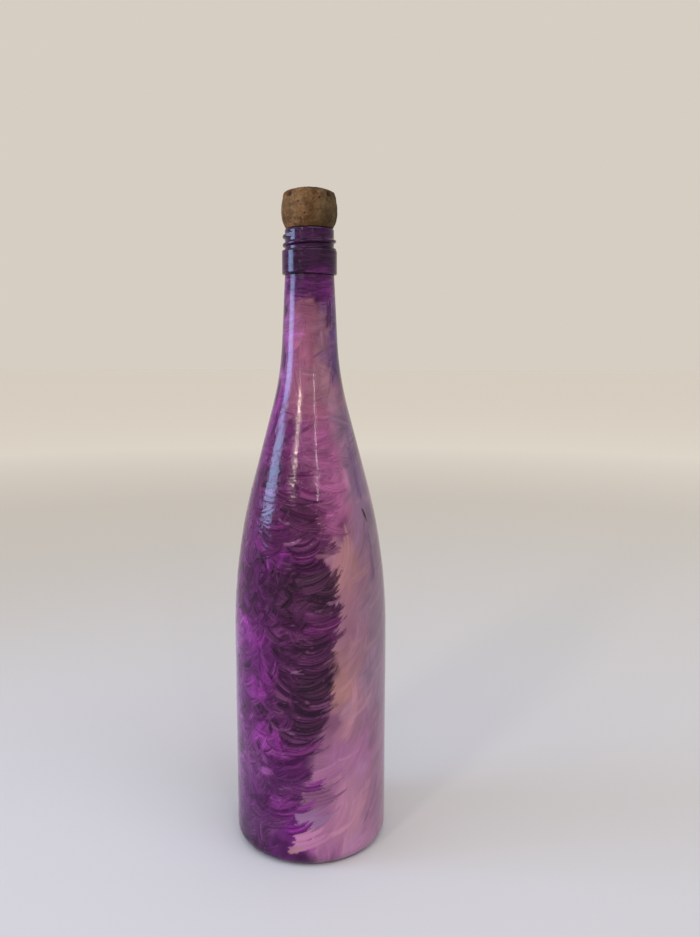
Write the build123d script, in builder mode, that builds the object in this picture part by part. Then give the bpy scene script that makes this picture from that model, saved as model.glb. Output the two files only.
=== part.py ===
"""Wine bottle with a screw finish, closed by a sparkling-wine cork.

The bottle is one hollow piece of glass: a bearing ring round a domed punt, a rounded heel, a straight body,
a long shoulder that runs out into the neck, a tall neck ring, a thread bead that climbs out of the ring, and
a rounded lip. The cork is an agglomerate body with a mushroom head and two discs of natural cork glued
under it. The head sits on the lip, and the shank fills the bore.

Frame: +Z is up, the origin is the centre of the base on the surface that the bottle stands on, and -Y is
the front. Sizes are in millimetres and angles in degrees.
"""

import os
from math import atan2, cos, radians, sin, sqrt, tan

from build123d import *

# Bottle, outside. The shoulder and the neck are measured down from the neck ring, so the straight body takes
# up what is left of the height. Their corners are where the straight stretches would meet.
bottle_height = 340.0
body_diameter = 84.3
heel_radius = 7.0
shoulder_length = 100.2
shoulder_radius = 330.0
neck_length = 53.2
neck_flare = 2.65
neck_wall = 3.75
neck_radius = 175.0

# Bottle, screw finish
finish_height = 23.9
finish_wall = 3.65
lip_radius = 1.2
ring_height = 12.5
ring_rise = 1.6
ring_edge_radius = 0.7
thread_rise = 1.2
thread_width = 2.6
thread_crest_width = 0.9
thread_sink = 0.6
thread_pitch = 4.4
thread_turns = 2.05
thread_start_depth = 1.3
thread_start_angle = -145.0

# Bottle, inside and base
wall_thickness = 3.0
bore_diameter = 18.5
bore_edge_radius = 0.8
bore_corner_radius = 120.0
inner_heel_radius = 6.0
base_thickness = 5.0
bearing_width = 5.15
punt_depth = 12.0
punt_edge_radius = 1.5
knurl_count = 48
knurl_margin = 0.7
knurl_width = 0.9
knurl_depth = 0.25

# Cork
shank_length = 26.0
shank_clearance = 0.05
shank_chamfer = 0.8
disc_thickness = 5.5
seat_margin = 0.4
head_height = 21.4
head_swell = 2.5
head_swell_height = 8.2
crown_taper = 1.4
crown_rise = 2.9
crown_edge_radius = 1.6
wire_count = 4
wire_angle = -132.0
wire_groove_radius = 1.4
wire_groove_depth = 0.9
wire_groove_slope = 45.0

# How far a cutting shape runs past the face that it cuts
overrun = 2.0

# Worked out from the sizes above
body_radius = body_diameter / 2
bore_radius = bore_diameter / 2
finish_radius = bore_radius + finish_wall
neck_top_radius = bore_radius + neck_wall
neck_corner_radius = neck_top_radius + neck_flare
ring_radius = finish_radius + ring_rise
ring_bottom = bottle_height - finish_height
ring_top = ring_bottom + ring_height
neck_corner_height = ring_bottom - neck_length
shoulder_corner_height = neck_corner_height - shoulder_length
punt_radius = body_radius - heel_radius - bearing_width
shank_radius = bore_radius - shank_clearance
shank_bottom = bottle_height - shank_length
seat_radius = finish_radius - seat_margin
head_radius = seat_radius + head_swell
head_top = bottle_height + head_height
crown_radius = head_radius - crown_taper


# The glass thread: a ridge on a right-hand helix that starts inside the neck ring, drawn here from +X. A flat
# that touches the finish where the thread ends cuts the ridge down, so that it fades out.
with BuildPart() as thread_ridge:
    thread_start_z = ring_top - thread_start_depth
    with BuildLine(Plane.XY.offset(thread_start_z)) as thread_path:
        Helix(thread_pitch, thread_pitch * thread_turns, finish_radius - thread_sink)
    with BuildSketch(Plane(thread_path.line @ 0, x_dir=(1, 0, 0), z_dir=thread_path.line % 0)):
        with BuildLine():
            FilletPolyline(
                (0, -thread_width / 2),
                (thread_sink, -thread_width / 2),
                (thread_sink + thread_rise, -thread_crest_width / 2),
                (thread_sink + thread_rise, thread_crest_width / 2),
                (thread_sink, thread_width / 2),
                (0, thread_width / 2),
                close=True,
                radius=[0, 0, thread_crest_width / 3, thread_crest_width / 3, 0, 0],
            )
        make_face()
    sweep(path=thread_path.line, is_frenet=True)
    thread_end = Plane.XY.offset(thread_start_z + thread_pitch * thread_turns)
    with Locations(thread_end.rotated((0, 0, 360 * thread_turns)).location):
        with Locations((finish_radius, 0, 0)):
            Box(
                thread_rise + overrun,
                2 * finish_radius,
                thread_pitch,
                align=(Align.MIN, Align.CENTER, Align.CENTER),
                mode=Mode.SUBTRACT,
            )

with BuildPart() as bottle:
    # The outside, with the punt as a ball cap pushed up into the base.
    punt_ball = (punt_radius**2 + punt_depth**2) / (2 * punt_depth)
    punt_centre = (0, punt_depth - punt_ball)
    with BuildSketch(Plane.XZ) as outside_section:
        with BuildLine():
            outside = FilletPolyline(
                (0, 0),
                (body_radius, 0),
                (body_radius, shoulder_corner_height),
                (neck_corner_radius, neck_corner_height),
                (neck_top_radius, ring_bottom),
                (ring_radius, ring_bottom),
                (ring_radius, ring_top),
                (finish_radius, ring_top),
                (finish_radius, bottle_height),
                (0, bottle_height),
                radius=[
                    heel_radius,
                    shoulder_radius,
                    neck_radius,
                    0,
                    ring_edge_radius,
                    ring_edge_radius,
                    0,
                    lip_radius,
                ],
            )
            Line(outside @ 1, outside @ 0)
        make_face()
        with Locations(punt_centre):
            Circle(punt_ball, mode=Mode.SUBTRACT)
        fillet(outside_section.vertices().group_by(Axis.Y)[0].sort_by(Axis.X)[0], punt_edge_radius)
    revolve(axis=Axis.Z)
    add(thread_ridge.part, rotation=(0, 0, thread_start_angle))

    # The inside keeps the wall's thickness along the shoulder until it meets the straight bore, and its floor
    # rises over the punt.
    shoulder_lean = atan2(body_radius - neck_corner_radius, neck_corner_height - shoulder_corner_height)
    inner_radius = body_radius - wall_thickness
    inner_shoulder_z = shoulder_corner_height - wall_thickness * tan(shoulder_lean / 2)
    inner_neck_z = inner_shoulder_z + (inner_radius - bore_radius) / tan(shoulder_lean)
    with BuildSketch(Plane.XZ):
        with BuildLine():
            inside = FilletPolyline(
                (0, base_thickness),
                (inner_radius, base_thickness),
                (inner_radius, inner_shoulder_z),
                (bore_radius, inner_neck_z),
                (bore_radius, bottle_height + overrun),
                (0, bottle_height + overrun),
                radius=[inner_heel_radius, shoulder_radius - wall_thickness, bore_corner_radius, 0],
            )
            Line(inside @ 1, inside @ 0)
        make_face()
        with Locations(punt_centre):
            Circle(punt_ball + base_thickness, mode=Mode.SUBTRACT)
    revolve(axis=Axis.Z, mode=Mode.SUBTRACT)
    lip_circles = bottle.edges().filter_by(GeomType.CIRCLE).group_by(Axis.Z)[-1]
    fillet(lip_circles.sort_by(SortBy.RADIUS)[0], bore_edge_radius)

    # Short radial knurls on the flat ring that the bottle stands on.
    flat = outside_section.vertices().group_by(Axis.Y)[0].sort_by(Axis.X)
    flat_inner = flat[0].X
    flat_outer = flat[-1].X
    knurl_radius = ((knurl_width / 2) ** 2 + knurl_depth**2) / (2 * knurl_depth)
    with Locations(Plane.XY.offset(knurl_depth - knurl_radius).location):
        with PolarLocations((flat_inner + flat_outer) / 2, knurl_count, start_angle=180 / knurl_count):
            Cylinder(
                knurl_radius,
                flat_outer - flat_inner - 2 * knurl_margin,
                rotation=(0, 90, 0),
                mode=Mode.SUBTRACT,
            )

with BuildPart() as cork_body:
    with BuildSketch(Plane.XZ) as section:
        with BuildLine():
            bulge = (head_radius, bottle_height + head_swell_height)
            seat = Polyline(
                (0, shank_bottom + 2 * disc_thickness),
                (shank_radius, shank_bottom + 2 * disc_thickness),
                (shank_radius, bottle_height),
                (seat_radius, bottle_height),
            )
            TangentArc(bulge, seat @ 1, tangent=(0, -1))
            TangentArc(bulge, (crown_radius, head_top - crown_rise), tangent=(0, 1))
            TangentArc((0, head_top), (crown_radius, head_top - crown_rise), tangent=(1, 0))
            Line((0, head_top), seat @ 0)
        make_face()
        crown_corner = section.vertices().sort_by_distance((crown_radius, head_top - crown_rise))[0]
        fillet(crown_corner, crown_edge_radius)
    revolve(axis=Axis.Z)

    # Grooves across the rounded rim of the crown, pressed in by the legs of the wire cage.
    rim_inset = crown_edge_radius * (sqrt(2) - 1)
    groove_reach = wire_groove_radius - wire_groove_depth - rim_inset
    groove_r = crown_radius + groove_reach * sin(radians(wire_groove_slope))
    groove_z = head_top - crown_rise + groove_reach * cos(radians(wire_groove_slope))
    with Locations(Plane.XY.offset(groove_z).location):
        with PolarLocations(groove_r, wire_count, start_angle=wire_angle):
            Cylinder(
                wire_groove_radius,
                head_radius,
                rotation=(0, 90 + wire_groove_slope, 0),
                mode=Mode.SUBTRACT,
            )

with BuildPart() as cork_disc_upper:
    with BuildSketch(Plane.XY.offset(shank_bottom + disc_thickness)):
        Circle(shank_radius)
    extrude(amount=disc_thickness)

with BuildPart() as cork_disc_lower:
    with BuildSketch(Plane.XY.offset(shank_bottom)):
        Circle(shank_radius)
    extrude(amount=disc_thickness)
    chamfer(cork_disc_lower.edges().group_by(Axis.Z)[0], shank_chamfer)


pieces = {
    "bottle": bottle,
    "cork_body": cork_body,
    "cork_disc_upper": cork_disc_upper,
    "cork_disc_lower": cork_disc_lower,
}

os.makedirs("parts", exist_ok=True)
for name, piece in pieces.items():
    piece.part.label = name
    export_step(piece.part, f"parts/{name}.step")
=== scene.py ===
"""Looks of a hand-painted bottle and its cork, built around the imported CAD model.

The glass stays as the CAD has it. Over it goes a film of paint with real relief: a seeded painter lays
curved strokes on the unrolled surface, and each point of the film keeps their colour, height and bristle
lines. The cork's agglomerate body is rebuilt with its granules, pits and crumbly side.

Lengths are in millimetres until a mesh is made. Turns are in degrees round the bottle, 0 at the front (-Y)
and growing towards the right (+X). Runs are measured along the glass from the foot of the paint upwards.
"""
from math import atan2, cos, degrees, exp, pi, radians, sin, sqrt, tan

import bpy
import numpy as np
from mathutils import Euler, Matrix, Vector, noise
from mathutils.bvhtree import BVHTree
from mathutils.kdtree import KDTree
from numpy.linalg import norm


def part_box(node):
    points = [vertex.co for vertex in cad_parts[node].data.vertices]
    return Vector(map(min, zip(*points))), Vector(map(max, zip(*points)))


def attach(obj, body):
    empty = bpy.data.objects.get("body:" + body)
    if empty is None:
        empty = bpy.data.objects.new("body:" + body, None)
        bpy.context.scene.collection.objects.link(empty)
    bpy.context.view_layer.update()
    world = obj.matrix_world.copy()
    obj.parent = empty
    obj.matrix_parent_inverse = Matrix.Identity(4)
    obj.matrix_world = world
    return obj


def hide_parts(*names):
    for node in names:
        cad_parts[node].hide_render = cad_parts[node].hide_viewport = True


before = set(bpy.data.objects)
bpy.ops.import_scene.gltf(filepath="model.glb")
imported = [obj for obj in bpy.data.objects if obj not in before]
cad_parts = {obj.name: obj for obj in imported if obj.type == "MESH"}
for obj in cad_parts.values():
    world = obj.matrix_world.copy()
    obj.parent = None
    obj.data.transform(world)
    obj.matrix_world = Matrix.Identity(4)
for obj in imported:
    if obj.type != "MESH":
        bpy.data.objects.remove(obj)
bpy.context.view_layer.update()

MM = 0.001

# The glass outline, as in the CAD. The height and the width come from the CAD bottle's box
bottle_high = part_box("bottle")[1]
bottle_height = bottle_high.z / MM
body_radius = bottle_high.x / MM
heel_radius = 7.0
shoulder_length = 100.2
shoulder_radius = 330.0
neck_length = 53.2
neck_corner_radius = 15.65
neck_top_radius = 13.0
neck_radius = 175.0
finish_height = 23.9
finish_radius = 12.9
ring_height = 12.5
ring_radius = 14.5
ring_edge_radius = 0.7
lip_radius = 1.2
ring_bottom = bottle_height - finish_height
ring_top = ring_bottom + ring_height

# The glass thread
thread_rise = 1.2
thread_width = 2.6
thread_crest_width = 0.9
thread_pitch = 4.4
thread_turns = 2.05
thread_start_height = ring_top - 1.3
thread_start_turn = -55.0
thread_fade = 24.0

# The film of paint and varnish. It ends some degrees over the lip, thins towards both its ends, and follows
# the thread by a share of its rise
film_thickness = 0.2
film_least = 0.05
film_most = 0.75
relief_scale = 1.25
film_foot_height = 0.45
film_inner_gap = 0.03
lip_cover = 45.0
foot_taper = 1.6
lip_taper = 0.9
taper_least = 0.25
thread_share = 0.97

# The film's rows and columns. Its inner side skips rows where it is nearly straight, but none above the full
# height. Inside, and above the halving height, every other column is left out
body_columns = 448
row_step = 0.62
finish_row_step = 0.22
halving_height = 238.0
inner_row_step = 6.0
inner_row_turn = 2.0
inner_full_height = ring_top - 1.0
tolerance = 0.001

# draw(low, high) is a random number between the two
rng = np.random.default_rng(11)
draw = rng.uniform


def linear(code):
    """A screen colour such as #5f1f69 as linear red, green and blue."""
    parts = np.array([int(code[i : i + 2], 16) for i in (1, 3, 5)]) / 255
    return np.where(parts <= 0.04045, parts / 12.92, ((parts + 0.055) / 1.055) ** 2.4)


# Paints
plum_black = linear("#1c041b")
# The dark of the stroke edges: partly darker paint, partly painted shadow under the ridges
edge_paint_and_shadow = linear("#2b052c")
deep_plum = linear("#280730")
plum = linear("#3c0939")
left_purple = linear("#702371")
low_purple = linear("#47164d")
collar_purple = linear("#56165a")
orchid = linear("#7a4578")
dusk = linear("#543668")
wine = linear("#5b1f51")
mauve = linear("#80456e")
mauve_rose = linear("#7c4860")
taupe = linear("#775462")
dusty_pink = linear("#92647c")
rose_pink = linear("#a07094")
orchid_pink = linear("#8b5581")
peach = linear("#a87a76")
lilac = linear("#8a7097")
grey_lilac = linear("#846a80")

# How the tones of the purples and of the pinks are darkened and how far they stray, and the pale paint that
# lightens both. A colour counts as a purple where its green is under the limit
purple_limit = 0.05
purple_darkening = np.array([0.5, 0.9, 0.48])
pink_darkening = np.array([0.5, 0.62, 0.48])
purple_stray = 0.65
pink_stray = 0.45
upward_stray = 0.43
lightening = 0.5
lit_paint = linear("#956288")
lit_paint_share = 0.16

# The brush: how far apart its bristles and their clumps are, its least bend in radians, and how much relief
# it levels. Its bristle lines are shifted from stroke to stroke, and replace older ones under enough cover
fine_bristles = 0.55
bristle_clumps = 1.7
least_bend = 0.02
levelling = 0.75
lines_shift = 7.3
lines_cover = 0.45


def ease(t):
    """A soft step from 0 at 0 to 1 at 1."""
    return t * t * (3 - 2 * t)


def smooth(low, high, x):
    """0 below low, 1 above high and a soft step in between."""
    return ease(np.clip((x - low) / (high - low), 0, 1))


def blend(first, second, share):
    """The first value where the share is 0, the second where it is 1."""
    return first * (1 - share) + second * share


# Outlines


def rounded_outline(corners, radii, step):
    """Points, a step apart or less, on lines through corners that are rounded where a radius isn't 0."""
    least_pieces = 5
    corners = [np.array(c, float) for c in corners]
    points = [corners[0]]

    def add_line(end):
        count = max(1, int(np.ceil(norm(end - points[-1]) / step)))
        start = points[-1]
        points.extend(start + (end - start) * i / count for i in range(1, count + 1))

    for before, corner, after, radius in zip(corners, corners[1:], corners[2:], radii):
        to_before = (before - corner) / norm(before - corner)
        to_after = (after - corner) / norm(after - corner)
        half = np.arccos(np.clip(to_before @ to_after, -1, 1)) / 2
        if radius == 0:
            add_line(corner)
            continue
        add_line(corner + to_before * radius / tan(half))
        middle = (to_before + to_after) / norm(to_before + to_after)
        centre = corner + middle * radius / sin(half)
        start = points[-1] - centre
        sweep = pi - 2 * half
        side = np.sign(start[0] * (corner - centre)[1] - start[1] * (corner - centre)[0])
        count = max(least_pieces, int(np.ceil(radius * sweep / step)))
        for i in range(1, count + 1):
            a = side * sweep * i / count
            turned = np.array([start[0] * cos(a) - start[1] * sin(a), start[0] * sin(a) + start[1] * cos(a)])
            points.append(centre + turned)
    add_line(corners[-1])
    return np.array(points)


def film_path():
    """Points of the glass outline under the paint, from the foot to the lip: radius and height."""
    neck_corner = (neck_corner_radius, ring_bottom - neck_length)
    shoulder_corner = (body_radius, ring_bottom - neck_length - shoulder_length)
    low = rounded_outline(
        [(0, 0), (body_radius, 0), shoulder_corner, neck_corner, (neck_top_radius, ring_bottom)],
        [heel_radius, shoulder_radius, neck_radius], row_step,
    )
    foot_turn = np.arccos(1 - film_foot_height / heel_radius)
    low = low[low[:, 1] > film_foot_height]
    foot = (body_radius - heel_radius + heel_radius * sin(foot_turn), film_foot_height)
    high = rounded_outline(
        [
            (neck_top_radius, ring_bottom), (ring_radius, ring_bottom), (ring_radius, ring_top),
            (finish_radius, ring_top), (finish_radius, bottle_height), (0, bottle_height),
        ],
        [ring_edge_radius, ring_edge_radius, 0, lip_radius], finish_row_step,
    )
    lip_end = finish_radius - lip_radius + lip_radius * sin(radians(lip_cover))
    keep = (high[:, 1] < bottle_height - lip_radius) | (high[:, 0] > lip_end)
    return np.vstack([[foot], low, high[1:][keep[1:]]])


def outward(path):
    """The direction that points out of the glass at each point of the outline."""
    along = np.gradient(path, axis=0)
    along /= norm(along, axis=1)[:, None]
    return np.stack([along[:, 1], -along[:, 0]], 1)


# The painter's canvas: one row for each point of the outline, one column for each turn

path = film_path()
normals = outward(path)
run = np.concatenate([[0], np.cumsum(norm(np.diff(path, axis=0), axis=1))])
turns = np.arange(body_columns) * 360 / body_columns - 180
radius = path[:, 0]
height = path[:, 1]
canvas_shape = (len(path), body_columns)
colour = np.zeros(canvas_shape + (3,))
relief = np.zeros(canvas_shape)
bristle = np.zeros(canvas_shape)


def wrapped(turn):
    """A turn or a difference of turns, from -180 to 180."""
    return (turn + 180) % 360 - 180


def cloud(spacing, seed):
    """Smooth noise over the canvas, from about -1 to 1, with features about a spacing wide on the body."""
    own_rng = np.random.default_rng(seed)
    rows = int(run[-1] / spacing) + 3
    columns = int(2 * pi * body_radius / spacing)
    grid = own_rng.uniform(-1, 1, (rows, columns))
    y = run / spacing
    x = (turns + 180) / 360 * columns
    y0 = y.astype(int)
    x0 = x.astype(int)
    x1 = (x0 + 1) % columns
    share = ease(x - x0)
    low = blend(grid[y0][:, x0], grid[y0][:, x1], share)
    high = blend(grid[y0 + 1][:, x0], grid[y0 + 1][:, x1], share)
    return blend(low, high, ease(y - y0)[:, None])


class Lines:
    """Noise along one direction, such as the bristles of a brush, from -1 to 1."""

    count = 256

    def __init__(self, spacing):
        self.spacing = spacing
        self.values = draw(-1, 1, self.count)
        self.shift = draw(0, self.count)

    def __call__(self, place):
        x = place / self.spacing + self.shift
        i = np.floor(x).astype(int)
        return blend(self.values[i % self.count], self.values[(i + 1) % self.count], ease(x - i))


stroke_count = 0


def stroke(
    turn, place, length, width, first, second, bend, heading, cover=1.0, streak=0.6, start_rag=1.5,
    end_rag=4.0, fade_in=0.8, soft_side=0.7, dry=0.0, thick=0.1, ridge=0.1, dark_edge=0.0, lean=0.0,
):
    """One brush stroke with its middle at a turn and a run.

    It follows an arc: bend is its whole turn in degrees, positive where it curves upwards, and heading the
    direction of its middle, 0 to the right and 90 up. Its bristles leave streaks of two colours, and ends
    that are ragged by about start_rag and end_rag. It fades over fade_in and soft_side, and breaks up
    where it is dry. Its relief is thick in the middle, with a ridge at its edges. With dark_edge or lean it
    is darker towards the outside of its bend: dark_edge lays a painted shadow, partly darker paint, on its
    outer edge, and lean paints light and shade across it, lighter inside the bend.
    """
    global stroke_count
    stroke_count += 1
    reach = (length + width) / 2 + end_rag + 1
    rows = np.nonzero(np.abs(run - place) < reach)[0]
    half_turn = min(degrees(reach / radius[rows].min()), 180)
    columns = np.nonzero(np.abs(wrapped(turns - turn)) < half_turn)[0]
    x = radians(1) * wrapped(turns[columns] - turn)[None, :] * radius[rows][:, None]
    y = (run[rows] - place)[:, None]
    side = -1 if bend < 0 else 1
    ahead = x * cos(radians(heading)) + y * sin(radians(heading))
    aside = side * (y * cos(radians(heading)) - x * sin(radians(heading)))
    arc = length / max(abs(radians(bend)), least_bend)
    across = (arc - np.hypot(ahead, arc - aside)) * side
    along = arc * np.arctan2(ahead, arc - aside)

    # Where the stroke covers the canvas
    fine = Lines(fine_bristles)
    medium = Lines(bristle_clumps)
    start = -length / 2 + start_rag * (0.6 * fine(across) + 0.6 * medium(across))
    end = length / 2 + end_rag * (0.5 * Lines(0.5)(across) + 0.7 * Lines(1.5)(across) - 0.4)
    side_rag = 0.35 * Lines(3.0)(along) + 0.2 * Lines(0.9)(along)
    inner = across * side
    inside = smooth(-0.35, 0.35, width / 2 + side_rag + inner)
    inside *= smooth(-soft_side / 2, soft_side / 2, width / 2 - soft_side / 4 + side_rag - inner)
    inside *= smooth(-fade_in / 2, fade_in / 2, along - start)
    inside *= smooth(0, 1.4, end - along)
    progress = np.clip(along / length + 0.5, 0, 1)
    load = 1 - dry * progress + 0.7 * (0.6 * fine(across) + 0.4 * Lines(4.0)(along + 3 * medium(across)))
    alpha = inside * smooth(0.0, 0.55, load) if dry > 0 else inside

    # Its colour and its relief
    # Where the stroke leans it gets painted light and shade: lighter inside its bend, darker outside
    mix = 0.5 + lean * inner / width
    mix += streak * (0.55 * fine(across) + 0.55 * medium(across) + 0.2 * Lines(9.0)(along))
    tint = blend(first, second, np.clip(mix, 0, 1)[..., None])
    near_rim = np.exp(-((width / 2 - inner - 0.55) ** 2) / 0.35)
    far_rim = np.exp(-((width / 2 + inner - 0.5) ** 2) / 0.3)
    # A painted shadow along the outer edge, under the ridge, partly also darker paint
    if dark_edge:
        shade = dark_edge * np.exp(-((width / 2 + inner - 0.1) ** 2) / (0.2 + 0.06 * width))
        tint = blend(tint, edge_paint_and_shadow, shade[..., None])
    tail = np.exp(-((end - along - 0.9) ** 2) / 0.8)
    grooves = (0.01 + 0.3 * thick) * fine(across) + 0.2 * thick * Lines(0.9)(across)
    laid = thick * (1 - 0.4 * progress) + ridge * (0.5 * near_rim + far_rim + 0.6 * tail) + grooves

    spot = np.ix_(rows, columns)
    colour[spot] = blend(colour[spot], tint, (alpha * cover)[..., None])
    relief[spot] = relief[spot] * (1 - levelling * alpha) + laid * alpha
    own_lines = across + stroke_count * lines_shift
    bristle[spot] = np.where(alpha > lines_cover, own_lines, bristle[spot])


# The painting. Deep purple lies on the left of the front and round that side, dusty pink and lilac grey on
# the right, mauve on the shoulder between them, and purple again round the neck ring and the thread

# The turns at which the purple ends in front and the pink ends at the back, each at a list of heights
front_edge_heights = [0, 13, 24, 38, 60, 72, 84, 92, 118, 140, 150, 166, 180, 196, 230]
front_edge_turns = [-38, -30, -15, 0, 2, 10, 15, 19, 17, 25, 25, 14, 11, 6, -20]
back_edge_heights = [0, 20, 45, 70, 100, 135, 160, 190, 230]
back_edge_turns = [186, 178, 172, 180, 190, 196, 190, 180, 172]

# Heights at which the manner of painting changes
calm_top = 60.0
arc_top = 192.0
shoulder_foot = 172.0
dark_edge_top = 205.0
neck_foot = 240.0
collar_foot = 303.0

# How many strokes of a kind there are, or how far apart they are in height and in turns
sweep_count = 330
pale_sweep_count = 90
arc_step = 4.8
bold_arc_step = 9.0
loop_step = 11.0
loop_turn_step = 24.0
feather_step = 2.4
feather_turn_step = 18.0
feather_gap_chance = 0.15
feather_calm = 0.65
shoulder_step = 2.8
dark_arc_count = 11
neck_stroke_count = 300
tooth_foot = 17.0
tooth_step = 12.0
tooth_turn = -7.0
tuft_step = 4.0
collar_step = 1.7
collar_turn_step = 22
touch_count = 50

# How much flatter the relief lies high up, on the left and all round
flat_left_share = 0.65
flat_top_share = 0.5


def front_edge(z):
    """The turn at which the purple ends on the front at a height."""
    return np.interp(z, front_edge_heights, front_edge_turns)


def back_edge(z):
    """The turn at which the pink ends on the back at a height."""
    return np.interp(z, back_edge_heights, back_edge_turns)


def run_at(z):
    """The run of a point on the straight or sloping glass at a height."""
    return np.interp(z, height, run)


def radius_at(z):
    """The radius of the glass at a height."""
    return np.interp(run_at(z), run, radius)


def turn_over(length, z):
    """The turn that a length covers at a height."""
    return degrees(length / radius_at(z))


def slimness(z):
    """How much smaller than on the body the strokes are at a height: 1 there, less on the neck."""
    return 0.35 + 0.65 * radius_at(z) / body_radius


wavy_turn = turns + 7 * cloud(14, 1) + 3 * cloud(5, 2)
wavy_height = height[:, None] + 5 * cloud(16, 5) + 2 * cloud(5, 6)


def patch(first_turn, last_turn, low, high, fade):
    """How far each spot of the canvas is inside two turns and two heights, with wavy, fading edges."""
    middle = (first_turn + last_turn) / 2
    half = (last_turn - first_turn) / 2
    share = smooth(-fade, fade, half - np.abs(wrapped(wavy_turn - middle)))
    share *= smooth(-fade, fade, wavy_height - low) * smooth(-fade, fade, high - wavy_height)
    return share[..., None]


def wash(tint, first_turn, last_turn, low, high, fade, strength=1.0):
    """Blends a colour into the ground between two turns and two heights."""
    colour[:] = blend(colour, tint, strength * patch(first_turn, last_turn, low, high, fade))


def glaze(level, first_turn, last_turn, low, high, fade):
    """Darkens the ground between two turns and two heights, or lightens it where the level is above 1."""
    colour[:] = colour * (1 + (level - 1) * patch(first_turn, last_turn, low, high, fade))


# Fields of the first coat, in the order in which they are laid: a paint, its first and last turn, its low and
# high height, how wide it fades out, and how strong it is if not fully
left_fields = [
    (low_purple, -170, 0, -20, 66, 16, 0.8), (orchid, -62, -30, 46, 66, 9, 0.6),
    (orchid, -48, -22, 14, 26, 7, 0.45), (plum, -40, -12, 30, 42, 7, 0.7),
    (plum, -75, -20, 66, 190, 24, 0.2), (plum, -27, 24, 62, 176, 18), (plum, -140, -98, 74, 126, 14, 0.5),
    (deep_plum, -158, -112, 14, 52, 14, 0.4), (orchid, -128, -96, 132, 168, 12, 0.3),
    (wine, -98, -72, 20, 60, 12, 0.4), (orchid, -104, -66, 16, 190, 14, 0.85),
]
right_fields = [
    (rose_pink, 6, 150, -20, 72, 12), (orchid_pink, 2, 24, -20, 62, 8, 0.8),
    (lilac, -4, 12, 26, 46, 4, 0.6), (orchid_pink, 4, 30, 60, 92, 8, 0.6), (peach, 15, 44, 88, 122, 7, 0.7),
    (peach, 22, 50, 14, 48, 8, 0.35), (peach, 18, 40, 150, 172, 6, 0.5), (lilac, 46, 80, 96, 150, 8, 0.4),
    (orchid_pink, 30, 62, 58, 82, 7, 0.5), (deep_plum, -60, -24, -10, 12, 7, 0.6),
    (grey_lilac, 44, 116, 80, 250, 14), (grey_lilac, 62, 100, -20, 90, 16, 0.6),
    (lilac, 116, 160, 100, 180, 20, 0.5), (peach, 120, 150, 40, 90, 14, 0.4),
]
upper_fields = [
    (orchid, -140, -33, neck_foot + 14, collar_foot + 4, 7),
    (left_purple, -110, -52, neck_foot + 38, neck_foot + 44, 3, 0.6),
    (plum, -110, -34, neck_foot - 80, neck_foot + 8, 16, 0.5), (plum, -34, 15, 174, 196, 7, 0.6),
    (dusk, 38, 120, neck_foot - 62, neck_foot + 4, 12, 0.4),
    (dusk, 42, 130, neck_foot + 20, collar_foot + 6, 9),
    (collar_purple, -180, 181, collar_foot, bottle_height + 20, 2.5),
    (deep_plum, -180, 181, ring_bottom + 2, bottle_height + 20, 3, 0.85),
]

# Where the first coat is darkened, or lightened by a level above 1: the level, then turns, heights and fade
# The lightening at turns 0 to 42 and heights 203 to 219 is partly a painted highlight
glazes = [
    (0.68, -170, -102, -10, 236, 12), (0.42, -60, -24, 132, 170, 10), (0.35, -58, -33, 6, 22, 5),
    (2.0, -12, 3, 8, 20, 4), (2.0, -28, -8, 22, 44, 7), (1.7, -38, -10, 68, 96, 7),
    (0.75, -8, 2, 38, 82, 4), (0.8, 15, 32, 68, 84, 5), (1.5, -40, -12, 98, 112, 7),
    (1.9, -28, -15, 158, 172, 5), (0.75, -28, -8, 128, 142, 5), (1.35, 0, 17, 128, 142, 5),
    (0.85, 0, 18, 24, 80, 7), (0.75, 24, 90, 144, 188, 7), (1.55, -104, -62, 46, 118, 10),
    (1.25, 33, 52, 84, 110, 7), (1.2, 24, 54, 22, 38, 7), (0.7, -56, -26, 186, 214, 7),
    (1.4, 0, 42, 203, 219, 5), (0.8, 8, 60, 232, 250, 7), (1.2, -18, 32, 262, 277, 5),
    (0.8, 24, 44, 282, 304, 5), (0.7, 14, 34, 294, 306, 4), (0.7, 52, 92, 246, 264, 7),
]


def paint_ground():
    """The first coat: soft fields of colour that the strokes then follow."""
    colour[:] = left_purple
    for field in left_fields:
        wash(*field)
    past_front = smooth(-2, 2, wrapped(wavy_turn - front_edge(height)[:, None]))
    before_back = smooth(-4, 4, wrapped(back_edge(height)[:, None] - wavy_turn))
    colour[:] = blend(colour, dusty_pink, (past_front * before_back)[..., None])
    for field in right_fields:
        wash(*field)
    for middle in (-6, 176):
        wash(wine, middle - 40, middle + 6, shoulder_foot + 4, neck_foot, 9)
        wash(mauve, middle, middle + 38, shoulder_foot + 6, neck_foot + 8, 9)
        wash(mauve_rose, middle - 26, middle + 26, neck_foot - 2, collar_foot + 10, 7)
        wash(taupe, middle + 18, middle + 50, neck_foot + 8, neck_foot + 44, 5, 0.85)
    for field in upper_fields:
        wash(*field)
    for field in glazes:
        glaze(*field)
    # A painted reflection: lilac pales and greys the left rim, standing in for what its varnish mirrors at a
    # glancing angle
    wash(lilac, -98, -66, 50, 122, 8, 0.25)
    purple_share = smooth(0.12, 0.02, colour[..., 1])
    mottle = (0.14 + 0.28 * purple_share) * cloud(22, 7) + (0.1 + 0.3 * purple_share) * cloud(9, 8)
    colour[:] = colour * (1 + mottle)[..., None]
    relief[:] = 0.04 + 0.02 * cloud(4, 4)


paint_ground()
ground = colour.copy()


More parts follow.
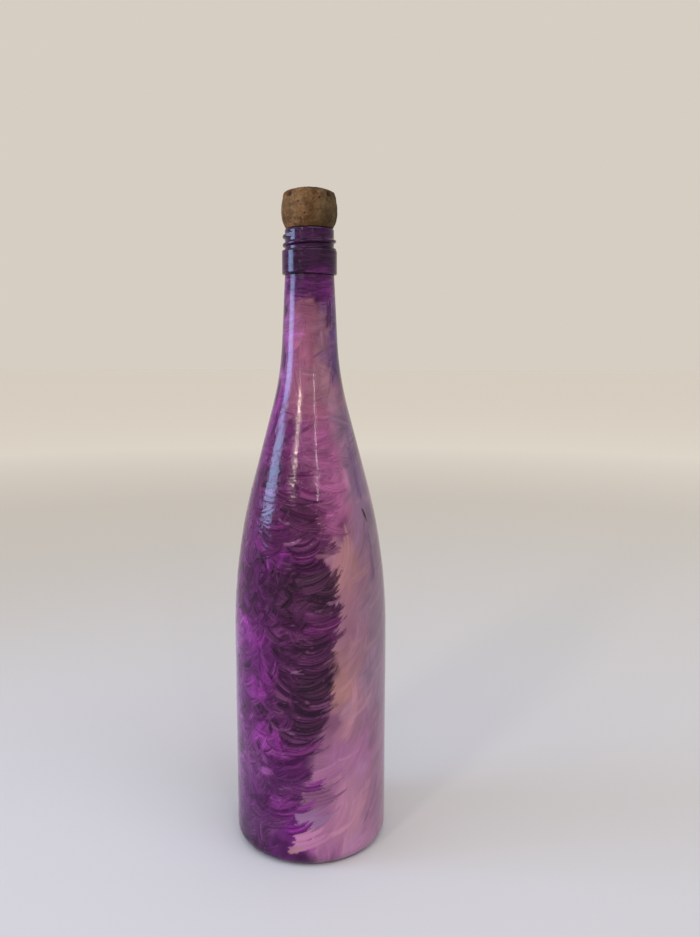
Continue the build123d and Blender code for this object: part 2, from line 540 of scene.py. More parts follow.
def tones(turn, place, bold):
    """A dark and a light version of the ground's colour at a spot, further apart where it is bold."""
    row = np.abs(run - place).argmin()
    column = int((turn + 180) / 360 * body_columns) % body_columns
    purple = ground[row, column, 1] < purple_limit
    darkening, stray = (purple_darkening, purple_stray) if purple else (pink_darkening, pink_stray)
    own = ground[row, column] * draw(1 - stray * bold, 1 + upward_stray * bold)
    light = own * (1 + lightening * bold) + lit_paint_share * bold**2 * lit_paint
    return own * (1 - bold * darkening), light


def lay(turn, z, length, width, bold=1.0, tints=None, **how):
    """A stroke whose middle is at a height, in tones of the ground unless it is given its own tints."""
    place = run_at(z)
    dark, light = tints or tones(turn, place, bold)
    stroke(turn, place, length, width, dark, light, **how)


def paint_sweeps():
    """Soft blended sweeps that rise to the right, over the pink side, and narrow paler ones over them."""
    for _ in range(sweep_count):
        z = draw(0, 262)
        turn = draw(front_edge(z) + 11, back_edge(z) - 11)
        lay(turn, z, draw(22, 40) * slimness(z), draw(7, 12) * slimness(z), bold=draw(0.3, 0.7),
            bend=draw(15, 70), heading=draw(25, 85), cover=draw(0.3, 0.65), streak=draw(0.3, 0.6),
            start_rag=2.5, end_rag=7, fade_in=5, soft_side=2.5, dry=0.5, thick=0.03, ridge=0.02)
    for _ in range(pale_sweep_count):
        z = draw(4, 240)
        turn = draw(front_edge(z) + 8, back_edge(z) - 8)
        own = tones(turn, run_at(z), 0.3)[1]
        lay(turn, z, draw(10, 22), draw(1.5, 3.5), tints=(own, own + 0.3 * (peach - own)), bend=draw(20, 60),
            heading=draw(15, 60), cover=0.6, streak=0.9, fade_in=3, soft_side=1.2, dry=0.8, thick=0.03,
            ridge=0.03)


def paint_arcs():
    """Columns of stacked U strokes round the purple side, laid upwards, and bolder ones at its front edge."""
    for z in np.arange(-2.0, arc_top, arc_step):
        here = max(z, 1)
        last_turn = front_edge(here)
        column = last_turn
        while column > back_edge(here) - 352:
            in_front = column == last_turn
            length = draw(22, 34) if in_front else draw(16, 27)
            length *= slimness(here)
            turn = column - turn_over(0.42 * length, here) + draw(-5, 2)
            lively = rng.random()
            lay(turn, max(z + draw(-3, 3), 0), length, draw(7, 13) if in_front else draw(5, 9),
                bold=(0.4 + 0.8 * lively) if in_front else (0.35 + 0.7 * lively), bend=draw(60, 150),
                heading=draw(-34, 40), cover=draw(0.6, 0.98), streak=draw(0.8, 1.3), start_rag=3,
                end_rag=draw(4, 8), fade_in=3, soft_side=draw(1.5, 4), dry=draw(0.1, 0.6), thick=0.07,
                ridge=draw(0.05, 0.14), dark_edge=lively**2 * (1.0 if in_front else 0.5), lean=0.9)
            column -= draw(20, 30)
    for z in np.arange(66.0, 178.0, bold_arc_step):
        length = draw(26, 38)
        lay(front_edge(z) - turn_over(0.52 * length, z) + draw(-6, 2), z + draw(-3, 3), length, draw(8, 14),
            bold=draw(0.9, 1.25), bend=draw(90, 150), heading=draw(-20, 30), cover=0.92,
            streak=draw(0.9, 1.3), start_rag=3, end_rag=6, fade_in=3, soft_side=3, dry=0.4, thick=0.08,
            ridge=0.12, dark_edge=draw(0.4, 1.0), lean=1.2)


def paint_loops():
    """Softer curved strokes that stand upright, over the purple side."""
    for z in np.arange(8.0, 216.0, loop_step):
        for turn in np.arange(-44.0, back_edge(z) - 344, -loop_turn_step):
            length = draw(16, 30) * slimness(z)
            lay(turn + draw(-8, 8), z + draw(-5, 5), length, draw(5, 10) * slimness(z), bold=draw(0.4, 0.8),
                bend=rng.choice([-1, 1]) * draw(40, 90), heading=draw(60, 120), cover=draw(0.4, 0.75),
                streak=draw(0.9, 1.3), start_rag=3, end_rag=6, fade_in=5, soft_side=4, dry=0.5, thick=0.05,
                ridge=0.04, dark_edge=draw(0, 0.3), lean=0.9)


def paint_feathers():
    """Small strokes with plain bristle lines over the purple, in two leans, like the barbs of a feather."""
    for z in np.arange(0.0, 236.0, feather_step):
        size = slimness(max(z, 1))
        calm = feather_calm if z < calm_top else 1.0
        last_turn = front_edge(z) - 26 if z < shoulder_foot else -32
        for spine in np.arange(last_turn, back_edge(z) - 350, -feather_turn_step):
            for side in (-1, 1):
                if rng.random() < feather_gap_chance:
                    continue
                lay(spine + 7 * sin(z / 23 + spine) + side * draw(2, 6), z + draw(-1.5, 1.5),
                    draw(6, 12) * size, draw(2.4, 4.6) * size, bold=draw(0.5, 1.1) * calm, bend=draw(25, 70),
                    heading=side * draw(30, 80), cover=draw(0.45, 0.9) * calm, streak=1.2, start_rag=2.5,
                    fade_in=2, soft_side=1.0, dry=draw(0.4, 0.9), thick=0.05, ridge=0.05,
                    dark_edge=draw(0, 0.4) * calm)


def paint_shoulder():
    """Arcs over the front and the back of the shoulder, and narrower dark ones over its lower part."""
    for middle in (-8, 172):
        for z in np.arange(shoulder_foot, neck_foot + 8, shoulder_step):
            for _ in range(3):
                lay(middle + draw(-30, 34), z + draw(-2, 2), draw(10, 24) * slimness(z),
                    draw(5, 9) * slimness(z), bold=draw(0.35, 0.85), bend=draw(25, 90), heading=draw(-30, 45),
                    cover=draw(0.5, 0.85), streak=draw(0.6, 1.1), start_rag=2, end_rag=5, fade_in=3,
                    soft_side=2.5, dry=0.4, thick=0.05, ridge=draw(0.03, 0.09),
                    dark_edge=draw(0, 0.5) if z < dark_edge_top else 0.0, lean=0.6)
        for _ in range(dark_arc_count):
            turn = middle + draw(-36, 24)
            z = draw(168, 212)
            dark, light = tones(turn, run_at(z), 0.9)
            lay(turn, z, draw(16, 28), draw(3.5, 6), tints=(dark, 0.5 * (dark + light)), bend=draw(25, 60),
                heading=draw(-8, 12), cover=0.9, streak=1.2, end_rag=5, soft_side=2.5, dry=0.6, thick=0.05,
                ridge=0.06, dark_edge=1.0)


def paint_neck():
    """Quiet strokes on the neck, a third of them upright and the others level, bolder on its purple side."""
    for _ in range(neck_stroke_count):
        z = draw(neck_foot - 30, collar_foot)
        turn = draw(-180, 180)
        purple_side = -150 < turn < -30
        lay(turn, z, draw(9, 18), draw(3.5, 6), bold=draw(0.5, 1.0) if purple_side else draw(0.3, 0.6),
            bend=draw(-40, 40), heading=rng.choice([draw(60, 110), draw(-20, 30), draw(-10, 20)]),
            cover=draw(0.35, 0.65), streak=0.7, start_rag=3, end_rag=5, fade_in=5, soft_side=3.2, dry=0.6,
            thick=0.03, ridge=0.03)


def paint_teeth():
    """Flat-brush starts of pink low down with dark tufts between them, and purple tufts higher up."""
    for z in np.arange(tooth_foot, 62.0, tooth_step):
        length = draw(15, 22)
        start = max(front_edge(z), tooth_turn) + draw(-4, 2)
        lay(start + turn_over(length / 2, z), z, length, tooth_step - draw(1, 3),
            tints=tones(start + 16, run_at(z), 0.25), bend=draw(20, 45), heading=draw(10, 26), cover=0.97,
            streak=0.8, start_rag=2.2, end_rag=9, fade_in=0.5, thick=0.08, ridge=0.08)
        if z == tooth_foot:
            continue
        length = draw(10, 15)
        lay(start + turn_over(length * 0.15, z), z - tooth_step / 2, length, draw(4, 6),
            tints=tones(start - 8, run_at(z), 0.9), bend=draw(20, 50), heading=draw(12, 30), cover=0.95,
            streak=1.2, start_rag=3, end_rag=6, fade_in=4, soft_side=1.5, dry=0.5, thick=0.07, ridge=0.08,
            dark_edge=0.5)
    for z in np.arange(68.0, 180.0, tuft_step):
        length = draw(14, 22) * slimness(z)
        start = front_edge(z) - turn_over(length * 0.42, z) + draw(-2, 3)
        lay(start, z + draw(-1, 1), length, draw(3.5, 7), tints=tones(start - 8, run_at(z), 1.0),
            bend=draw(45, 85), heading=draw(8, 30), cover=0.92, streak=1.2, start_rag=3, end_rag=6,
            fade_in=3, soft_side=1.5, dry=0.6, thick=0.08, ridge=0.12, dark_edge=0.7, lean=0.8)


def paint_collar():
    """Level streaks round the top of the neck, the neck ring, the thread and the lip."""
    for place in np.arange(run_at(collar_foot + 2), run[-1] + 1, collar_step):
        for turn in np.arange(-180, 180, collar_turn_step):
            at = turn + draw(-12, 12)
            dark, light = tones(at, place, draw(0.35, 0.85))
            stroke(at, place, draw(7, 14), draw(2.0, 3.8), dark, light, bend=draw(-10, 25),
                   heading=draw(-10, 16), cover=0.7, streak=1.0, start_rag=2, end_rag=3, soft_side=1.2,
                   dry=0.4, thick=0.015, ridge=0.01)


def paint_accents():
    """A dark mark and a pale one, upright lines on the neck and shoulder, and thin light touches."""
    lay(57, 190, 10, 2.2, tints=(plum_black, plum_black), bend=8, heading=110, start_rag=0.5, end_rag=1.5,
        fade_in=3, soft_side=1.6)
    for turn, z, length in ((-62, 298, 9), (-58, 272, 12), (-66, 256, 16), (-52, 238, 14), (47, 296, 16)):
        lay(turn, z, length, 4, tints=(deep_plum, plum), bend=12, heading=86, cover=0.75, fade_in=4,
            soft_side=2)
    for turn, z, length in ((56, 214, 34), (58, 168, 30)):
        lay(turn, z, length, 5, tints=(dusk, dusk), bend=8, heading=92, cover=0.45, soft_side=3,
            fade_in=8, end_rag=8, dry=0.6)
    for _ in range(touch_count):
        z = draw(40, 215)
        turn = draw(-175, front_edge(z) - 4)
        lay(turn, z, draw(3, 12), draw(0.7, 1.2), tints=(orchid, rose_pink), bend=draw(30, 80),
            heading=draw(-20, 40), cover=draw(0.3, 0.7), fade_in=2, dry=0.9)
    lay(-8, 11, 9, 4.5, tints=(peach, rose_pink), bend=10, heading=20, cover=0.9)


paint_sweeps()
paint_arcs()
paint_loops()
paint_feathers()
paint_shoulder()
paint_neck()
paint_teeth()
paint_collar()
paint_accents()

# The paint lies flatter high up, most of all on the left, so that the long highlights stay whole there
flat_left = smooth(198, 216, wavy_height) * smooth(26, 38, -wavy_turn) * smooth(-150, -130, wavy_turn)
flat_top = smooth(202, 222, wavy_height)
relief *= 1 - np.maximum(flat_left_share * flat_left, flat_top_share * flat_top)


# Meshes


def bridge(low, high):
    """Faces between two closed rings of point numbers. One ring may have half as many points as the other."""
    faces = []
    if len(low) == len(high):
        for i in range(len(low)):
            j = (i + 1) % len(low)
            faces.append((low[i], low[j], high[j], high[i]))
    elif len(low) == 2 * len(high):
        for i in range(len(high)):
            a, b, c = low[2 * i], low[2 * i + 1], low[(2 * i + 2) % len(low)]
            d, e = high[i], high[(i + 1) % len(high)]
            faces += [(a, b, d), (b, e, d), (b, c, e)]
    else:
        faces = [tuple(reversed(f)) for f in bridge(high, low)]
    return faces


def add_object(name, data):
    made = bpy.data.objects.new(name, data)
    bpy.context.scene.collection.objects.link(made)
    return made


def make_mesh(name, points, faces, attributes):
    """A smooth mesh object from points in millimetres, with named values or colours for its points."""
    mesh = bpy.data.meshes.new(name)
    mesh.from_pydata((np.asarray(points) * MM).tolist(), [], faces)
    for key, values in attributes:
        values = np.asarray(values, np.float32)
        kind, field = "FLOAT", "value"
        if values.ndim == 2:
            kind, field = "FLOAT_COLOR", "color"
            values = np.hstack([values, np.ones((len(values), 1), np.float32)])
        mesh.attributes.new(key, kind, "POINT").data.foreach_set(field, values.ravel())
    mesh.shade_smooth()
    mesh.update()
    return add_object(name, mesh)


def thread_lift(turn, z):
    """How far the thread stands out from the finish."""
    lift = np.zeros(np.broadcast(turn, z).shape)
    first = (turn - thread_start_turn) % 360
    for lap in range(int(thread_turns) + 1):
        swept = first + 360 * lap
        left = 360 * thread_turns - swept
        middle = thread_start_height + thread_pitch * swept / 360
        flank = (thread_width - thread_crest_width) / 2
        side = np.clip((thread_width / 2 - np.abs(z - middle)) / flank, 0, 1)
        cap = finish_radius * (1 / np.cos(np.radians(np.clip(left, 0, thread_fade))) - 1)
        lift = np.maximum(lift, np.where(left > 0, np.minimum(side * thread_rise, cap), 0))
    return lift


def film_points(row, columns, thickness):
    """Points of the film for a row and columns of the canvas, at a thickness over the glass."""
    turn = turns[columns]
    r = radius[row]
    z = height[row]
    proud = finish_radius + thread_lift(turn, z) - r
    lift = np.where(z > ring_top - tolerance, np.maximum(proud, 0) * thread_share, 0)
    r = r + lift + normals[row, 0] * thickness
    z = z + normals[row, 1] * thickness
    angle = np.radians(turn)
    return np.stack([r * np.sin(angle), -r * np.cos(angle), z], -1)


def make_paint_film():
    """The paint as a closed skin: the relief outside, and a plain inner side just off the glass."""
    every = np.arange(body_columns)
    half = every[::2]
    ends = smooth(0, foot_taper, run) * smooth(0, lip_taper, run[-1] - run)
    thickness = np.clip(film_thickness + relief_scale * relief, film_least, film_most)
    thickness *= taper_least + (1 - taper_least) * ends[:, None]

    inner_rows = [0]
    for i in range(1, len(run)):
        last = inner_rows[-1]
        turned = abs(degrees(atan2(*normals[i]) - atan2(*normals[last])))
        if turned > inner_row_turn or run[i] - run[last] > inner_row_step or height[i] > inner_full_height:
            inner_rows.append(i)

    points, tints, lines, rings = [], [], [], []
    count = 0
    outer = [(i, every if height[i] < halving_height else half, True) for i in range(len(run))]
    inner = [(i, half, False) for i in reversed(inner_rows)]
    for i, columns, outside in outer + inner:
        deep = thickness[i, columns] if outside else np.full(len(columns), film_inner_gap)
        points.append(film_points(i, columns, deep))
        tints.append(colour[i, columns])
        lines.append(bristle[i, columns])
        rings.append(list(range(count, count + len(columns))))
        count += len(columns)
    faces = []
    for low, high in zip(rings, rings[1:] + rings[:1]):
        faces += bridge(low, high)
    attributes = [("paint", np.vstack(tints)), ("bristle", np.concatenate(lines))]
    return make_mesh("paint_film", np.vstack(points), faces, attributes)


paint_film = make_paint_film()
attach(paint_film, "bottle")


# The cork's agglomerate body

cork_low, cork_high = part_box("cork_body")
cork_foot = cork_low.z / MM
cork_top = cork_high.z / MM
cork_shank_radius = 9.2
cork_seat_radius = 12.5
cork_head_radius = 14.6
cork_crown_radius = 13.0
cork_reach = 15.5
cork_centre = bottle_height + 8.0
cork_step = 0.36
cork_columns = 256
cork_halvings = 4
granule_size = 1.8
granule_fill = 0.6
granule_drop = 0.2
seam_width = 0.22
seam_depth = 0.12
pit_count = 110
pit_depth = 0.6
pit_sizes = (0.35, 0.95)
crown_pit_share = 0.25
ripple_depth = 0.05
side_crumble = 0.7
wire_marks = (-137, -37, 48, 138)
wire_depth = 1.1
crease_turn = -82
crease_drop = 1.9
crease_width = 0.35
crease_depth = 0.5


def cork_rings():
    """Rings of points on the CAD cork, from the middle of its foot to the middle of its crown.

    The foot, the shank and the seat are plain, so they are worked out. The head is found by rays that go out
    from a point on its axis, and so keeps its swell and the marks of the wire. Rings near the axis have fewer
    points.
    """
    plain = [(r, cork_foot) for r in np.arange(1.2, cork_shank_radius - 0.2, 1.0)]
    plain += [(cork_shank_radius, z) for z in np.arange(cork_foot, bottle_height - 0.1, cork_step)]
    plain += [(r, bottle_height) for r in np.arange(cork_shank_radius, cork_seat_radius - 0.3, 0.8)]
    rings = []
    for i, (r, z) in enumerate(plain):
        angle = np.arange(cork_columns) * 2 * pi / cork_columns
        ring = np.stack([r * np.cos(angle), r * np.sin(angle), np.full(cork_columns, z)], 1)
        rings.append(ring[:: 2 ** max(cork_halvings - i, 0)])
    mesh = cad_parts["cork_body"].data
    surface = BVHTree.FromPolygons([v.co for v in mesh.vertices], [p.vertices for p in mesh.polygons])
    centre = Vector((0, 0, cork_centre * MM))
    lowest = -atan2(cork_centre - bottle_height, cork_seat_radius)
    reach = cork_top - cork_centre
    count = cork_columns
    least = cork_columns // 2**cork_halvings
    for lean in np.arange(lowest, pi / 2 - 0.03, cork_step / reach):
        if count > least and reach * cos(lean) * 2 * pi / count < 0.6 * cork_step:
            count //= 2
        ring = []
        for angle in np.arange(count) * 2 * pi / count:
            ray = Vector((cos(lean) * cos(angle), cos(lean) * sin(angle), sin(lean)))
            ring.append(surface.ray_cast(centre, ray)[0] / MM)
        rings.append(np.array(ring))
    return rings


def cork_pits(chance):
    """A search tree over pits in the shank, the head and the crown, and how wide each is."""
    pits = KDTree(pit_count)
    for i in range(pit_count):
        angle = chance.uniform(0, 2 * pi)
        z = chance.uniform(cork_foot, cork_top)
        r = cork_shank_radius if z < bottle_height else cork_head_radius
        if chance.random() < crown_pit_share:
            r, z = cork_crown_radius * sqrt(chance.random()), cork_top - 1
        pits.insert((r * cos(angle), r * sin(angle), z), i)
    pits.balance()
    return pits, chance.uniform(*pit_sizes, pit_count)


def make_cork():
    """Granules in a bond: each has its own shade, the seams are sunk, and some granules have crumbled."""
    chance = np.random.default_rng(5)
    noise.seed_set(5)
    rings = cork_rings()
    points = np.vstack(rings)
    box = np.array([[-cork_reach, -cork_reach, cork_foot - 1], [cork_reach, cork_reach, cork_top + 1]])
    count = int(np.prod(box[1] - box[0]) / (granule_fill * granule_size**3))
    seeds = KDTree(count)
    for i, place in enumerate(chance.uniform(box[0], box[1], (count, 3))):
        seeds.insert(place, i)
    seeds.balance()
    granule_shade = chance.normal(0, 1, count)
    granule_depth = chance.random(count) ** 3
    pits, pit_size = cork_pits(chance)

    shade, seam, pit, depth = np.zeros((4, len(points)))
    for k, point in enumerate(points):
        here = Vector(point)
        first, second = seeds.find_n(here + 0.5 * noise.noise_vector(here / 1.3), 2)
        seam[k] = exp(-(((second[2] - first[2]) / seam_width) ** 2))
        shade[k] = granule_shade[first[1]]
        _, i, distance = pits.find(here + 0.3 * noise.noise_vector(here * 1.4))
        pit[k] = 1 - smooth(0.4, 1.0, distance / pit_size[i])
        depth[k] = seam_depth * seam[k] + granule_drop * granule_depth[first[1]]
        depth[k] += pit_depth * pit[k] * pit_size[i]
        depth[k] += ripple_depth * (1 + noise.noise(here * 2.2))

    # The side of the head crumbles most. It has the marks of the wire, and a crease under the crown
    z = points[:, 2]
    r = np.hypot(points[:, 0], points[:, 1])
    angle = np.degrees(np.arctan2(points[:, 1], points[:, 0]))
    side = smooth(12, 13.5, r) * smooth(cork_top - 6.5, cork_top - 5, z)
    side *= 1 - smooth(cork_top - 2.4, cork_top - 1.6, z)
    depth *= 1 + side_crumble * side
    # The marks of the wire and the crease join the pits in the mask that gets painted shade
    for mark in wire_marks:
        off = np.abs(wrapped(angle - mark)) + 2 * seam
        notch = (1 - smooth(4, 11, off)) * side
        depth += wire_depth * notch
        pit = np.maximum(pit, notch)
    crease_line = cork_top - crease_drop + 0.5 * np.cos(np.radians((angle + 85) * 5))
    crease = np.exp(-(((z - crease_line) / crease_width) ** 2))
    crease *= 1 - smooth(12, 22, np.abs(angle - crease_turn))
    depth += crease_depth * crease
    pit = np.maximum(pit, crease)
    depth *= smooth(cork_foot, cork_foot + 0.3, z)
    depth *= 1 - 0.8 * np.exp(-((z - bottle_height) ** 2) / 0.15)
    out = points.copy()
    out[:, 2] = np.where(z > bottle_height, z - cork_centre, 0)
    out /= norm(out, axis=1)[:, None]
    points = points - out * depth[:, None]

    numbers = []
    for ring in rings:
        start = numbers[-1][-1] + 1 if numbers else 0
        numbers.append(list(range(start, start + len(ring))))
    faces = [tuple(reversed(numbers[0])), tuple(numbers[-1])]
    for low, high in zip(numbers, numbers[1:]):
        faces += bridge(low, high)
    return make_mesh("cork_grain", points, faces, [("shade", shade), ("seam", seam), ("pit", pit)])


cork_grain = make_cork()
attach(cork_grain, "cork")
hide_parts("cork_body")


# Materials


class Nodes:
    """Short calls for building one material's nodes."""

    def __init__(self, name):
        self.material = bpy.data.materials.new(name)
        self.material.use_nodes = True
        self.tree = self.material.node_tree
        self.shader = self.tree.nodes["Principled BSDF"]

    def add(self, kind, inputs=None, **settings):
        node = self.tree.nodes.new(kind)
        for key, value in settings.items():
            setattr(node, key, value)
        for key, value in (inputs or {}).items():
            self.put(node.inputs[key], value)
        return node

    def put(self, socket, value):
        """Links an output to a socket, or sets its value."""
        if isinstance(value, bpy.types.NodeSocket):
            self.tree.links.new(value, socket)
        else:
            socket.default_value = value

    def surface(self, values):
        """Sets sockets of the shader by name."""
        for name, value in values.items():
            self.put(self.shader.inputs[name], value)

    def place(self):
        return self.add("ShaderNodeTexCoord").outputs["Object"]

    def attribute(self, name, output="Fac"):
        return self.add("ShaderNodeAttribute", attribute_name=name).outputs[output]

    def math(self, operation, a, b, clamp=False):
        return self.add("ShaderNodeMath", {0: a, 1: b}, operation=operation, use_clamp=clamp).outputs[0]

    def times(self, a, b):
        return self.math("MULTIPLY", a, b)

    def excess(self, a, b, gain):
        """How far a is above b, times a gain, kept between 0 and 1."""
        return self.math("MULTIPLY", self.math("SUBTRACT", a, b, clamp=True), gain, clamp=True)

    def mix(self, share, a, b, mode="MIX"):
        inputs = {0: share, 6: a, 7: b}
        return self.add("ShaderNodeMix", inputs, data_type="RGBA", blend_type=mode).outputs[2]

    def noise(self, scale, vector, detail=3.0, rough=0.55):
        inputs = {"Scale": scale, "Vector": vector, "Detail": detail, "Roughness": rough}
        return self.add("ShaderNodeTexNoise", inputs).outputs[0]

    def bump(self, strength, distance, height):
        inputs = {"Strength": strength, "Distance": distance, "Height": height}
        return self.add("ShaderNodeBump", inputs).outputs[0]

    def ramp(self, factor, stops):
        """A colour ramp from places with their codes or colours. The first and the last are its ends."""
        stops = [(place, rgba(tint) if isinstance(tint, str) else tint) for place, tint in stops]
        node = self.add("ShaderNodeValToRGB", {0: factor})
        for element, (place, tint) in zip(node.color_ramp.elements, (stops[0], stops[-1])):
            element.position, element.color = place, tint
        for place, tint in stops[1:-1]:
            node.color_ramp.elements.new(place).color = tint
        return node.outputs[0]


def rgba(code):
    return (*linear(code), 1.0)


def paint_material():
    """Artist's paint with fine bristle lines, under a gloss varnish that follows the strokes."""
    n = Nodes("painted_glass_look")
    tint = n.attribute("paint", "Color")
    place = n.place()
    apart = n.add("ShaderNodeSeparateXYZ", {0: place})
    slow = [n.times(apart.outputs[i], 90.0) for i in range(3)]
    along = n.math("ADD", n.times(n.attribute("bristle"), 1.4), slow[0])
    lines_at = n.add("ShaderNodeCombineXYZ", {0: along, 1: slow[1], 2: slow[2]}).outputs[0]
    lines = n.noise(1.0, lines_at, detail=2.0)
    grain = n.noise(1500.0, place, detail=2.0)

    # The lines are deep in the purples, which have little green, and faint in the pinks
    green = n.add("ShaderNodeSeparateColor", {0: tint}).outputs[1]
    depth = n.math("SUBTRACT", 1.0, n.times(green, 9.0), clamp=True)
    depth = n.math("ADD", 0.08, n.times(depth, 0.92))
    darker = n.mix(1.0, tint, (0.45, 0.33, 0.45, 1), "MULTIPLY")
    lighter = n.mix(1.0, tint, (1.6, 2.1, 1.6, 1), "MULTIPLY")
    shaded = n.mix(n.times(n.excess(0.5, lines, 6.0), depth), tint, darker)
    shaded = n.mix(n.times(n.excess(lines, 0.55, 6.0), depth), shaded, lighter)
    raised = n.math("ADD", n.times(lines, depth), n.times(grain, 0.15))
    n.surface({
        "Base Color": shaded, "Roughness": 0.45, "Specular IOR Level": 0.0,
        "Coat Weight": 1.0, "Coat Roughness": 0.09, "Coat IOR": 1.3,
        "Normal": n.bump(0.7, 0.0001, raised), "Coat Normal": n.bump(0.4, 0.00008, raised),
    })
    return n.material


def cork_material():
    """Bonded granules of cork: a shade for each, dark seams, painted shade in the pits and towards the right,
    and fine grain.
    """
    n = Nodes("agglomerate_cork_look")
    place = n.place()
    fine = n.noise(900.0, place, rough=0.6)
    broad = n.noise(170.0, place)
    stains = n.noise(75.0, place, detail=2.0)
    level = n.math("ADD", n.times(n.attribute("shade"), 0.04), n.times(broad, 0.8))
    level = n.math("ADD", level, n.times(fine, 0.3))
    tint = n.ramp(level, [(0.3, "#49331c"), (0.48, "#634930"), (0.6, "#7c5f44"), (0.85, "#9f815f")])
    tint = n.mix(n.times(n.excess(stains, 0.5, 4.0), 0.4), tint, rgba("#6e4424"))
    tint = n.mix(n.times(n.excess(0.46, stains, 5.0), 0.35), tint, rgba("#4a4430"))

    # Painted shade, partly weathering: it is darker and greyer towards the right, away from the light on the
    # left
    across = n.times(n.add("ShaderNodeSeparateXYZ", {0: place}).outputs[0], 34.0)
    across = n.math("ADD", across, n.times(stains, 0.8))
    stops = [(0.05, (1, 0.94, 0.85, 1)), (0.42, (0.55, 0.47, 0.37, 1)), (0.8, (0.42, 0.49, 0.47, 1))]
    tint = n.mix(1.0, tint, n.ramp(across, stops), "MULTIPLY")
    tint = n.mix(n.times(n.attribute("seam"), 0.3), tint, rgba("#3c2815"))
    # Painted shade in the pits, the marks of the wire and the crease under the crown
    tint = n.mix(n.times(n.attribute("pit"), 0.85), tint, rgba("#22150a"))
    raised = n.math("ADD", fine, n.times(broad, 2.0))
    normal = n.bump(0.8, 0.0002, raised)
    n.surface({"Base Color": tint, "Roughness": 0.88, "Specular IOR Level": 0.2, "Normal": normal})
    return n.material


def natural_cork_material():
    """Natural cork: pale, with growth bands and the short dark pores that cross them."""
    n = Nodes("natural_cork_look")
    place = n.place()
    stretched = n.add("ShaderNodeMapping", {"Vector": place, "Scale": (1.0, 0.35, 1.0)}).outputs[0]
    flattened = n.add("ShaderNodeMapping", {"Vector": place, "Scale": (1.0, 0.15, 0.15)}).outputs[0]
    bands = n.noise(260.0, flattened)
    fine = n.noise(1600.0, place, detail=4.0)
    level = n.math("ADD", n.times(bands, 0.6), n.times(fine, 0.4))
    tint = n.ramp(level, [(0.3, "#7f5a37"), (0.5, "#a17a50"), (0.7, "#bb976b")])
    pores = n.excess(n.noise(700.0, stretched, detail=1.0), 0.62, 9.0)
    tint = n.mix(pores, tint, rgba("#4a2f1a"))
    normal = n.bump(0.6, 0.00015, n.math("SUBTRACT", fine, n.times(pores, 1.5)))
    n.surface({"Base Color": tint, "Roughness": 0.85, "Specular IOR Level": 0.25, "Normal": normal})
    return n.material


def glass_material():
    """Clear bottle glass with faint ripples."""
    n = Nodes("bottle_glass_look")
    n.surface({
        "Base Color": (0.93, 0.97, 0.95, 1), "Roughness": 0.03, "IOR": 1.5, "Transmission Weight": 1.0,
        "Normal": n.bump(0.3, 0.0004, n.noise(60.0, n.place(), detail=1.0)),
    })
    return n.material


paint_film.data.materials.append(paint_material())
cork_grain.data.materials.append(cork_material())
disc_look = natural_cork_material()
looks = {"bottle": glass_material(), "cork_disc_upper": disc_look, "cork_disc_lower": disc_look}
for node, look in looks.items():
    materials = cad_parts[node].data.materials
    materials.clear()
    materials.append(look)


# The camera, fitted to the photograph, and the light. Places are in metres and angles in degrees
focal_pixels = 845.0
frame_pixels = 937.0
sensor_size = 36.0
camera_place = (0.02195, -0.4631, 0.2753)
camera_down = 7.86
camera_roll = 0.151
lit_middle = Vector((0, 0, 0.2))
floor_size = 24.0
floor_drop = 0.0002


def place_camera():
    """The photograph's view."""
    data = bpy.data.cameras.new("camera")
    data.sensor_width = sensor_size
    data.lens = focal_pixels / frame_pixels * data.sensor_width
    camera = add_object("camera", data)
    camera.location = camera_place
    camera.rotation_euler = Euler((radians(90 - camera_down), 0, 0))
    camera.rotation_euler.rotate_axis("Z", radians(camera_roll))
    data.clip_start = 0.01
    bpy.context.scene.camera = camera


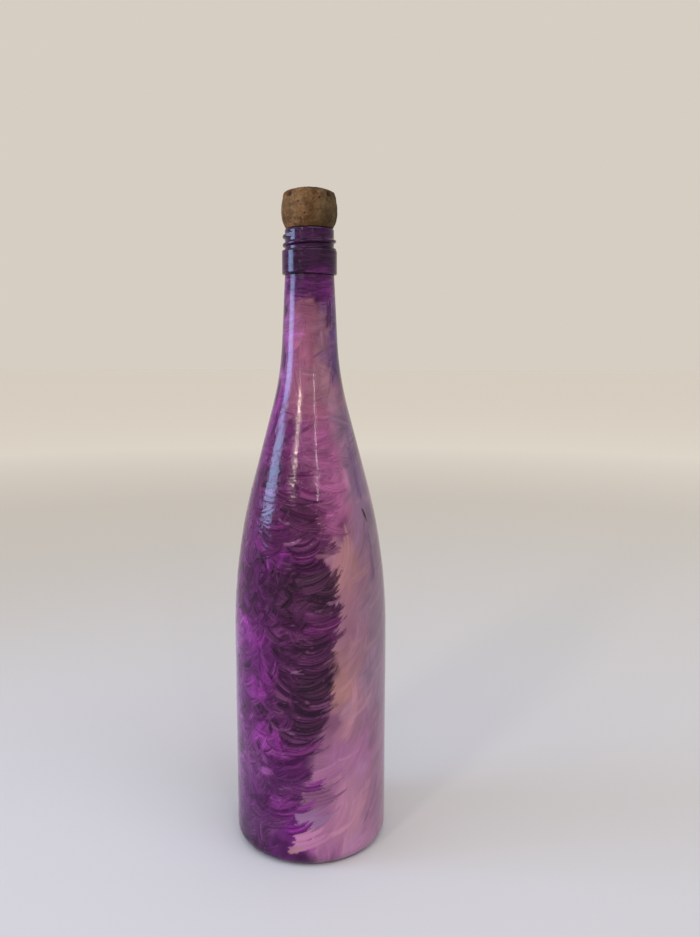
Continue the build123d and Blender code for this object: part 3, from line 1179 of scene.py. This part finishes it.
def add_panel(name, turn, elevation, distance, width, tall, tint, radiance, spread=70.0):
    """A soft box that faces the middle of the bottle. One that spreads its light less gets less energy."""
    data = bpy.data.lights.new(name, "AREA")
    data.shape = "RECTANGLE"
    data.size = width
    data.size_y = tall
    data.color = tint
    data.spread = radians(spread)
    half = data.spread / 2
    data.energy = radiance * pi * width * tall * (1 - half / tan(half))
    lamp = add_object(name, data)
    across = distance * cos(radians(elevation))
    up = distance * sin(radians(elevation))
    reach = Vector((across * sin(radians(turn)), -across * cos(radians(turn)), up))
    lamp.location = lit_middle + reach
    lamp.rotation_euler = (-reach).to_track_quat("-Z", "Y").to_euler()


def light_stage():
    """A plain pale floor, even light from all round and five soft boxes."""
    world = bpy.data.worlds.new("studio")
    bpy.context.scene.world = world
    world.use_nodes = True
    back = world.node_tree.nodes["Background"]
    back.inputs["Color"].default_value = rgba("#d6cec2")
    back.inputs["Strength"].default_value = 1.0

    bpy.ops.mesh.primitive_plane_add(size=floor_size, location=(0, 0, -floor_drop))
    floor = bpy.context.object
    floor.name = "floor"
    n = Nodes("floor_look")
    away = n.add("ShaderNodeVectorMath", {0: n.place()}, operation="LENGTH")
    share = n.times(away.outputs["Value"], 0.25)
    tint = n.ramp(share, [(0.05, "#c4c4ca"), (0.28, "#dcdad8"), (0.5, "#fffefc")])
    n.surface({"Base Color": tint, "Roughness": 0.9, "Specular IOR Level": 0.1})
    floor.data.materials.append(n.material)

    # Name, turn, elevation, distance, width, height, colour and radiance
    add_panel("window", -82, 12.5, 1.0, 0.44, 0.27, (0.42, 0.6, 1.0), 20.0)
    add_panel("warm_panel", -32, 24.8, 1.1, 0.13, 0.14, (1.0, 0.86, 0.7), 55.0)
    add_panel("thin_panel", 17, 23, 1.3, 0.03, 0.23, (1.0, 0.97, 0.95), 40.0)
    add_panel("overhead", 30, 52, 1.5, 1.6, 1.0, (0.9, 0.94, 1.0), 2.6, spread=150.0)
    add_panel("left_fill", -70, 48, 1.5, 1.0, 0.8, (0.85, 0.9, 1.0), 1.5, spread=120.0)


place_camera()
light_stage()
bpy.context.scene.view_settings.view_transform = "Standard"
